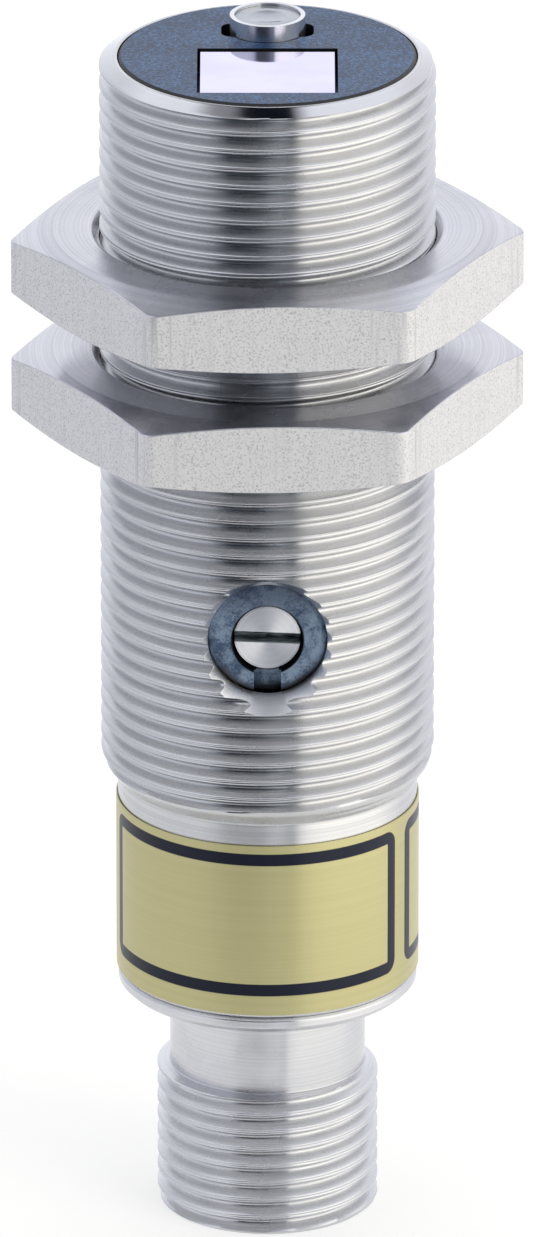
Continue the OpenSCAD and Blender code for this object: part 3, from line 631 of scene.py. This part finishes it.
sleeve_radius, sleeve_height = threaded_outline(
    np.concatenate([rear, runout]), np.concatenate([rim, mouth, rear[:1]]),
    THREAD_LOW, THREAD_HIGH, FACE_CREST_Z, CREST_R, sleeve_blank, LAST_GROOVE_Z)
sleeve_cells = grid_triangles(*sleeve_radius.shape)
row_of_cell = sleeve_cells.min(axis=1) // len(ROUND)
first_rim_row = len(sleeve_radius) - 1 - len(mouth) - len(rim)
on_rim = (row_of_cell >= first_rim_row - 1) & (row_of_cell < first_rim_row + len(rim) + LIP_ROWS)
threaded_sleeve = make_piece(
    "threaded_sleeve", turned(sleeve_radius, sleeve_height, ROUND).reshape(-1, 3), sleeve_cells,
    [sleeve_steel, pocket_steel, rim_steel], body="sensor", slot="sleeve_steel",
    stands_for=["housing_sleeve"], choice=2 * on_rim)

# %% [markdown]
# The adjusting screw sits in a countersink that was cut after the thread was rolled. The cutter
# slices crests and grooves at different depths, and that leaves the saw-tooth edge. Its mesh is a
# drill with a cone, turned about the screw's axis and long enough to stand out of the thread.

# %% Cutter of the countersink
HOLE_R = 3.22
COUNTERSINK_R = 3.98
COUNTERSINK_SLOPE = math.tan(math.radians(35))
CUTTER_START = 6.0
CONE_TOP = CREST_R + 1


def turned_to_front(radius, reach, angles):
    """The same turning about the screw's axis: the height becomes a reach towards -Y."""
    about_z = turned(radius, reach, angles)
    return np.stack([about_z[..., 0], -about_z[..., 2], about_z[..., 1] + SCREW_Z], axis=-1)


cone_low = CREST_R - (COUNTERSINK_R - HOLE_R) / COUNTERSINK_SLOPE
cone_top_r = HOLE_R + (CONE_TOP - cone_low) * COUNTERSINK_SLOPE
cutter_line = np.array([[0, CUTTER_START], [HOLE_R, CUTTER_START], [HOLE_R, cone_low],
                        [cone_top_r, CONE_TOP], [0, CONE_TOP]])
cutter_points = turned_to_front(cutter_line[:, :1], cutter_line[:, 1:], ROUND).reshape(-1, 3)
countersink = make_piece("countersink", cutter_points, grid_triangles(len(cutter_line), len(ROUND)),
                         [pocket_steel])

# %% [markdown]
# A Boolean modifier takes the cutter out of the sleeve. The cutter carries its own material, so the
# faces that it leaves keep it. The result is kept as a plain mesh, the cutter goes, and edges where
# two materials meet are marked sharp, so that the saw-tooth edge stays crisp.

# %% Cutting the countersink
def one_of_each(items, attribute, kind=int):
    """One value of every item of a mesh, as an array."""
    values = np.zeros(len(items), kind)
    items.foreach_get(attribute, values)
    return values


def cut_away(piece, cutter):
    """Takes one closed mesh out of another for good, and keeps material borders crisp."""
    knife = piece.modifiers.new("cut", "BOOLEAN")
    knife.object = cutter
    knife.operation = "DIFFERENCE"
    knife.solver = "EXACT"
    knife.material_mode = "TRANSFER"
    result = bpy.data.meshes.new_from_object(piece.evaluated_get(bpy.context.evaluated_depsgraph_get()))
    piece.modifiers.clear()
    piece.data = result
    bpy.data.objects.remove(cutter)
    result.set_sharp_from_angle(angle=CRISP)
    finish = one_of_each(result.polygons, "material_index")
    finish_of_loop = np.repeat(finish, one_of_each(result.polygons, "loop_total"))
    edge_of_loop = one_of_each(result.loops, "edge_index")
    lowest = np.full(len(result.edges), finish.max())
    highest = np.full(len(result.edges), finish.min())
    np.minimum.at(lowest, edge_of_loop, finish_of_loop)
    np.maximum.at(highest, edge_of_loop, finish_of_loop)
    sharp = one_of_each(result.edges, "use_edge_sharp", bool)
    result.edges.foreach_set("use_edge_sharp", sharp | (lowest != highest))
    print(f"{piece.name}: {len(result.polygons)} faces after the cut")


cut_away(threaded_sleeve, countersink)

# %% [markdown]
# The plug end is one turned piece too: a smaller thread of the same pitch, a nearly flat shoulder,
# a neck, a thin flange that closes the sleeve, and a spigot inside it with a groove for its seal.

# %% Plug shell blank
PLUG_R, NECK_R, FLANGE_R, SOCKET_R = 6.0, 5.3, 8.1, 4.35
THREAD_START, SOCKET_SEAM_Z = 0.5, 1.0
SHOULDER_Z, NECK_Z, FLANGE_Z, FLANGE_BEVEL = 7.93, 8.03, 12.72, 0.33
PLUG_EDGE = 0.03
SPIGOT_R, SPIGOT_TOP = 7.38, span("connector_shell")[1][2]
COLLAR_R, COLLAR_SEAT = span("contact_carrier")[1][0] + 0.02, SLEEVE_Z + 1.7
GROOVE_R, GROOVE_LOW, GROOVE_HIGH = 6.66, SLEEVE_Z + 0.35, SLEEVE_Z + 1.35


def shell_blank(height):
    """Radius of the plug end's blank from its tip to the neck."""
    return np.interp(height, [0, SMALL_BEVEL, SHOULDER_Z, NECK_Z],
                     [PLUG_R - SMALL_BEVEL, PLUG_R, PLUG_R, NECK_R])


tip = rings(shell_blank, np.linspace(0, THREAD_START, 8))
socket = soften(np.array([[SOCKET_R, SOCKET_SEAM_Z], [SOCKET_R, 0], [PLUG_R - SMALL_BEVEL, 0]]),
                FINE_EDGE, closed=False)
SHOULDER_MIDDLE = (PLUG_R / 2 + NECK_R / 2, SHOULDER_Z / 2 + NECK_Z / 2)
shoulder = rings(shell_blank, np.linspace(SHOULDER_Z, SHOULDER_MIDDLE[1], 4)[1:-1])
upper = soften(np.array([
    SHOULDER_MIDDLE, [NECK_R, NECK_Z], [NECK_R, FLANGE_Z], [FLANGE_R - FLANGE_BEVEL, FLANGE_Z],
    [FLANGE_R, FLANGE_Z + FLANGE_BEVEL], [FLANGE_R, SLEEVE_Z - SMALL_BEVEL],
    [FLANGE_R - SMALL_BEVEL, SLEEVE_Z], [SPIGOT_R, SLEEVE_Z], [SPIGOT_R, GROOVE_LOW],
    [GROOVE_R, GROOVE_LOW], [GROOVE_R, GROOVE_HIGH], [SPIGOT_R, GROOVE_HIGH], [SPIGOT_R, SPIGOT_TOP],
    [COLLAR_R, SPIGOT_TOP], [COLLAR_R, COLLAR_SEAT], [SOCKET_R, COLLAR_SEAT],
    [SOCKET_R, SOCKET_SEAM_Z]]), PLUG_EDGE, closed=False)
print("plain rings of the plug shell:", len(tip) + len(socket) + len(shoulder) + len(upper))

# %% [markdown]
# The functions that made the sleeve's thread make this one. Its grooves keep their full depth up
# to the shoulder and end there, because the fade would only start above it.

# %% Threaded plug shell
PLUG_CREST_Z = 7.05
LAST_PLUG_GROOVE_Z = NECK_Z + 0.25

shell_radius, shell_height = threaded_outline(
    np.concatenate([socket, tip]), np.concatenate([shoulder, upper, socket[:1]]),
    THREAD_START, SHOULDER_Z, PLUG_CREST_Z, PLUG_R, shell_blank, LAST_PLUG_GROOVE_Z)
make_piece("threaded_plug_shell", turned(shell_radius, shell_height, ROUND).reshape(-1, 3),
           grid_triangles(*shell_radius.shape), [shell_steel],
           body="sensor", slot="shell_steel", stands_for=["connector_shell"])

# %% [markdown]
# A lock nut is hexagon bar, faced and bevelled on the lathe. For each angle the bar's flat side
# lies at half the width across flats over the cosine of the angle from that side's middle, and
# the corners are slightly rounded from drawing. The bevel falls by a fixed slope outside the
# turned face, so its edge climbs in the middle of each side and dips at the corners. The sides
# keep the bar's finish and the rest gets the turned one.

# %% Lock nuts
HALF_FLATS = 12.0
CORNER_R = 13.74
FACE_R = 11.5
NUT_BEVEL = math.tan(math.radians(14))
NUT_BORE_R = 9.03
NUT_MOUTH = 0.42
NUT_COLUMNS = 360
# Softening gives each corner four rows, two on either side, and the side starts at corner 3.
FIRST_SIDE_ROW = 3 * 4 + 2
LAST_SIDE_ROW = FIRST_SIDE_ROW + 2


def lock_nut(name, turn_deg, body, node):
    """Closed outline per angle: mouth, face, bevel, side, bevel, face, mouth, bore."""
    low, high = span(node)
    angles = np.linspace(0, 2 * np.pi, NUT_COLUMNS + 1) + math.radians(turn_deg)
    from_side = (np.degrees(angles) - turn_deg) % 60 - 30
    side_r = np.minimum(HALF_FLATS / np.cos(np.radians(from_side)), CORNER_R)
    drop = (side_r - FACE_R) * NUT_BEVEL
    still = 0 * angles
    outline = np.stack([np.stack([r + still, z + still], axis=-1) for r, z in (
        (NUT_BORE_R, low[2] + NUT_MOUTH), (NUT_BORE_R + NUT_MOUTH, low[2]), (FACE_R, low[2]),
        (side_r, low[2] + drop), (side_r, high[2] - drop), (FACE_R, high[2]),
        (NUT_BORE_R + NUT_MOUTH, high[2]), (NUT_BORE_R, high[2] - NUT_MOUTH))])
    rows = soften(outline, EDGE)
    cells = grid_triangles(len(rows), len(angles))
    row_of_cell = cells.min(axis=1) // len(angles)
    on_side = (row_of_cell >= FIRST_SIDE_ROW) & (row_of_cell <= LAST_SIDE_ROW)
    make_piece(name, turned(rows[..., 0], rows[..., 1], angles).reshape(-1, 3), cells,
               [nut_steel, bar_steel], body=body, slot="nut_steel", stands_for=[node], choice=on_side)


lock_nut("front_lock_nut_turned", 3.3, "front_lock_nut", "front_nut")
lock_nut("rear_lock_nut_turned", 2.0, "rear_lock_nut", "rear_nut")

# %% [markdown]
# The label is a strip of foil wrapped round the sleeve, with its ends facing each other at the
# back. It is a thin closed band: the outline of its section carried from one end to the other, and
# a lid of triangles on each end.

# %% Label
FOIL_THICKNESS = 0.08
FOIL_EDGE = 0.015
HALF_FOIL_GAP = 0.3


def foil_band():
    """A rectangle in (radius, height) carried round by all but a small gap, and closed at the ends."""
    inner_r = LABEL_R - FOIL_THICKNESS
    end = HALF_FOIL_GAP / LABEL_R
    angles = np.linspace(0.5 * np.pi + end, 2.5 * np.pi - end, 2 * COLUMNS)
    rows = soften(np.array([[LABEL_R, label_low[2]], [LABEL_R, label_high[2]],
                            [inner_r, label_high[2]], [inner_r, label_low[2]]]), FOIL_EDGE)
    points = turned(rows[:, :1], rows[:, 1:], angles)
    cells = grid_triangles(len(rows), len(angles))
    lid = np.arange(1, len(rows) - 2)
    first = np.stack([0 * lid, lid, lid + 1], axis=1) * len(angles)
    last = np.stack([0 * lid, lid + 1, lid], axis=1) * len(angles) + len(angles) - 1
    return points.reshape(-1, 3), np.concatenate([cells, first, last])


make_piece("label_foil_band", *foil_band(), [label_foil], body="sensor", slot="label_foil",
           stands_for=["label_band"])

# %% [markdown]
# The other solids have the right shape already, so they stay and only take their finish. The
# record names a finish for each, and this table says which material it is here.

# %% Finishes on the solids
finishes = {
    "cap_plastic": cap_plastic, "seal_rubber": seal_rubber, "window_pane": window_glass,
    "lens_glass": lens_glass, "tube_steel": tube_steel, "gilt_metal": gilt_metal,
    "inner_plastic": inner_plastic, "chip_plastic": chip_plastic, "board_laminate": board_laminate,
    "can_aluminium": can_aluminium, "trimmer_plastic": trimmer_plastic, "ring_plastic": ring_plastic,
    "screw_steel": screw_steel, "sleeve_steel": sleeve_steel, "shell_steel": shell_steel,
    "nut_steel": nut_steel, "label_foil": label_foil,
}
for row in frame["record"]["subparts"]:
    solid = frame["nodes"][row["node"]]
    solid.data.materials.clear()
    solid.data.materials.append(finishes[row["material_slot"]])

# %% [markdown]
# The studio's air is plain and soft all round. The Light Path node tells the rays from the camera
# and off polished metal, which see it white, from those that light the object, which see it at
# about half that strength. So the background is white and the object isn't washed out.

# %% Sky
WHITE = linear("#FFFFFF")


def to_eye_and_mirror(tree):
    """1 for rays from the camera, off a glossy surface or through glass, else 0."""
    rays = add(tree, "LightPath").outputs
    seen = rays["Is Camera Ray"]
    for kind in ("Is Glossy Ray", "Is Transmission Ray"):
        seen = add(tree, "Math", [seen, rays[kind]], operation="MAXIMUM")
    return seen


world = bpy.data.worlds.new("studio_air")
bpy.context.scene.world = world
world.use_nodes = True
sky = world.node_tree
sky.nodes.clear()
soft = add(sky, "Background", [WHITE, 0.54])
bright = add(sky, "Background", [WHITE, 1.0])
add(sky, "OutputWorld", [add(sky, "MixShader", [to_eye_and_mirror(sky), soft, bright])])
print("strength of the sky on the object:", soft.inputs["Strength"].default_value)

# %% [markdown]
# The floor is a large sheet of matt paper, which keeps the object's soft shadow. It glows a little
# for the camera and for reflections alone, which lifts the lit paper to white there.

# %% Floor
FLOOR_HALF = 3000.0

floor_paper, floor_tree = new_material("floor_matt_paper")
matt = add(floor_tree, "BsdfDiffuse", [linear("#C6C6C6")])
lift = add(floor_tree, "Math", [to_eye_and_mirror(floor_tree), 0.56], operation="MULTIPLY")
glow = add(floor_tree, "Emission", [WHITE, lift])
add(floor_tree, "OutputMaterial", [add(floor_tree, "AddShader", [matt, glow])])
floor_points = np.array([[-1, -1, 0], [1, -1, 0], [1, 1, 0], [-1, 1, 0]]) * FLOOR_HALF
make_piece("floor", floor_points, np.array([[0, 1, 2], [0, 2, 3]]), [floor_paper])

# %% [markdown]
# Polished metal shows its surroundings more than its own colour. Photographers of metal parts put
# them in a tent of white cloth, brighter on the side of the lamp, and leave a dark opening where
# a dark band should fall. The tent here is one dome, 0.6 m from the object, and a sheet over the
# floor that starts a little away from it. Both are seen only in reflections. Their light depends
# on the bearing round the object, which a colour ramp holds, so every band has a soft edge. An
# upright wall, seen from above, mirrors the sheet. The dome's own front is darker than the sheet,
# for the deep dark on the nuts: their upper faces mirror the thread that stands on them, and that
# mirrors the dome's front.

# %% Bearings of light in the tent
TENT_CLOTH = {
    -180: "#CDCED3", -160: "#C4C6CB", -138: "#AEB0B6", -60: "#AEB0B7", -44: "#A1A3AA", -36: "#878B92",
    -32: "#676D74", -29: "#41484F", -22: "#343B43", -12: "#3A4149", -5: "#50565D", 1: "#8A8F94",
    8: "#A6A9AC", 13: "#9A9DA0", 16: "#505458", 19: "#4F5256", 21.5: "#9FA0A1", 24: "#E6E4DF",
    32: "#F9F5ED", 45: "#FFFBF1", 90: "#F6F3EC", 120: "#C9C8CA", 150: "#C2C2C7", 180: "#CDCED3",
}
DOME_FRONT = {
    -44: "#A1A3AA", -36: "#585D65", -32: "#2A2F36", -29: "#14181E", -22: "#0C1014", -12: "#0C1014",
    -5: "#12161C", 1: "#262B31", 8: "#50565E", 13: "#666C73", 16: "#5A5F65", 19: "#565A5F",
}


def bearing_light(tree, parts, colour_at):
    """The cloth's colour for the bearing of a place, from a table of colours by degrees."""
    part_of_turn = add(tree, "MapRange", [bearing(tree, parts), -math.pi, math.pi])
    cloth = add(tree, "ValToRGB", [part_of_turn])
    stops = cloth.color_ramp.elements
    for degrees, colour in colour_at.items():
        place = (degrees + 180) / 360
        stop = stops[0] if place == 0 else stops[-1] if place == 1 else stops.new(place)
        stop.color = linear(colour)
    return cloth


print("bearings in the tent's cloth:", len(TENT_CLOTH), "and darker ones in front:", len(DOME_FRONT))

# %% [markdown]
# Each part of the tent is a turned shape that glows. Only reflections see it, so it throws no
# shadow and lights nothing that is matt.

# %% Pieces of the tent
TENT_R = 600.0
TENT_LIGHT = 1.95


def tent_cloth(name, light, shown=None):
    """Cloth that glows in the colour that light gives, and is there as far as shown says."""
    material, tree = new_material(name)
    place = add(tree, "TexCoord").outputs["Object"]
    parts = add(tree, "SeparateXYZ", [place]).outputs
    surface = add(tree, "Emission", [light(tree, parts), TENT_LIGHT])
    if shown:
        surface = add(tree, "MixShader", [shown(tree, parts), add(tree, "BsdfTransparent"), surface])
    add(tree, "OutputMaterial", [surface])
    return material


def tent_piece(name, radius, height, material):
    """A turned piece of the tent, seen only in reflections."""
    points = turned(radius, height, ROUND).reshape(-1, 3)
    cloth = make_piece(name, points, grid_triangles(len(radius), len(ROUND)), [material])
    for ray in ("camera", "diffuse", "shadow", "transmission"):
        setattr(cloth, "visible_" + ray, False)


print("tent radius:", TENT_R, "mm")

# %% [markdown]
# The dome keeps its bearings up to about forty degrees. Above that it is plain bright cloth, with
# one dark slit overhead, longer from front to back than wide. The slit gives the dark spot in the
# middle of the bevel round the face. A strip of gauze hangs over the slit's left part, so the
# spot fades out on that side.

# %% Tent dome
ROOF_LOW, ROOF_HIGH = 0.6, 0.76
SLIT_EDGES = (("X", 0.09, 0.16, 1.0), ("X", -0.19, -0.27, 1.0),
              ("Y", 0.62, 0.76, 1.0), ("Y", -0.28, -0.38, 1.0))
GAUZE = ("X", -0.09, -0.14, 0.28)
DOME_ROWS = 33
DOME_Z = 0.3


def dome_light(tree, parts):
    """Bearings below, roof above, and the slit where no edge covers it.

    An edge is the axis that it crosses, where it starts and where it is whole, in radii of the
    dome, and how much it covers there.
    """
    covered = 0.0
    for axis, start, whole, amount in (*SLIT_EDGES, GAUZE):
        edge = add(tree, "MapRange", [parts[axis], start * TENT_R * MM, whole * TENT_R * MM, 0.0, amount])
        covered = add(tree, "Math", [covered, edge], operation="MAXIMUM")
    roof = blended(tree, covered, "#0A0E14", "#CED0D6")
    walls = bearing_light(tree, parts, TENT_CLOTH | DOME_FRONT)
    return blended(tree, parts["Z"], walls, roof, ROOF_LOW * TENT_R * MM, ROOF_HIGH * TENT_R * MM)


rise = np.linspace(0, 0.5 * np.pi, DOME_ROWS)[:, None]
tent_piece("tent_dome", TENT_R * np.cos(rise), DOME_Z + TENT_R * np.sin(rise),
           tent_cloth("tent_cloth", dome_light))

# %% [markdown]
# The sheet on the floor fades in with distance, so the lowest parts of the object still mirror the
# white floor itself and their own shadow on it. It lies nearer on the right, the brighter side.

# %% Tent floor sheet
SHEET_FADE = (45.0, 95.0)
SHEET_MIDDLE = -20.0
SHEET_Z = 0.2
SHEET_HOLE_R = 20.0


def sheet_light(tree, parts):
    """The cloth's bearings as they are."""
    return bearing_light(tree, parts, TENT_CLOTH)


def sheet_shown(tree, parts):
    """0 near the object and 1 further out, by the distance from a place left of it."""
    moved = add(tree, "Math", [parts["X"], SHEET_MIDDLE * MM], operation="SUBTRACT")
    start, whole = (reach * MM for reach in SHEET_FADE)
    return add(tree, "MapRange", [distance(tree, moved, parts["Y"]), start, whole])


tent_piece("tent_sheet", np.array([[TENT_R], [SHEET_HOLE_R]]), np.array([[SHEET_Z], [SHEET_Z]]),
           tent_cloth("tent_floor_cloth", sheet_light, sheet_shown))

# %% [markdown]
# Plastics and matt surfaces need lamps. Three large soft ones do: a warmer one from the right, a
# cooler one from the left and one overhead. They aren't mirrored, because the tent already gives
# the metal all that it shows.

# %% Lamps
LAMPS_AIM = (0, 0, 0.035)


def softbox(name, place, size, watts, colour):
    """A square area lamp that looks at the middle of the sensor and isn't mirrored in it."""
    lamp = bpy.data.lights.new(name, "AREA")
    lamp.size = size
    lamp.energy = watts
    lamp.color = linear(colour)[:3]
    holder = bpy.data.objects.new(name, lamp)
    bpy.context.scene.collection.objects.link(holder)
    holder.location = place
    aim = np.array(LAMPS_AIM) - np.array(place)
    tilt = math.acos(-aim[2] / np.linalg.norm(aim))
    turn = math.atan2(aim[0], -aim[1]) + math.pi
    holder.rotation_euler = (tilt, 0, turn)
    holder.visible_glossy = False


softbox("key_right", (0.55, -0.45, 0.5), 0.5, 1.75, "#FFF9F0")
softbox("fill_left", (-0.6, -0.4, 0.4), 0.5, 0.3, "#F2F5FF")
softbox("top", (0.0, 0.15, 0.8), 0.6, 1.7, "#FFFFFF")
print("lamps:", [lamp.name for lamp in bpy.data.lights])

# %% [markdown]
# The camera is a long lens, 0.9 m in front of the sensor and 22 degrees above it. A long lens
# keeps the two nuts almost the same width, and the ellipses of all round edges open only slightly
# from top to bottom.

# %% Camera
CAMERA_AHEAD = 900.0
CAMERA_OVER_FACE = 323.6
LOOK_DOWN_DEG = 21.579
LENS = 522.17
SENSOR_HEIGHT = 36.0

camera_data = bpy.data.cameras.new("camera")
camera_data.sensor_fit = "VERTICAL"
camera_data.sensor_height = SENSOR_HEIGHT
camera_data.lens = LENS
camera_data.clip_end = 20.0
camera = bpy.data.objects.new("camera", camera_data)
bpy.context.scene.collection.objects.link(camera)
camera.location = (0.0, -CAMERA_AHEAD * MM, (FACE_Z + CAMERA_OVER_FACE) * MM)
camera.rotation_euler = (math.radians(90 - LOOK_DOWN_DEG), 0, 0)
bpy.context.scene.camera = camera
bpy.context.scene.view_settings.view_transform = "Standard"
print("camera at:", [round(value, 3) for value in camera.location])
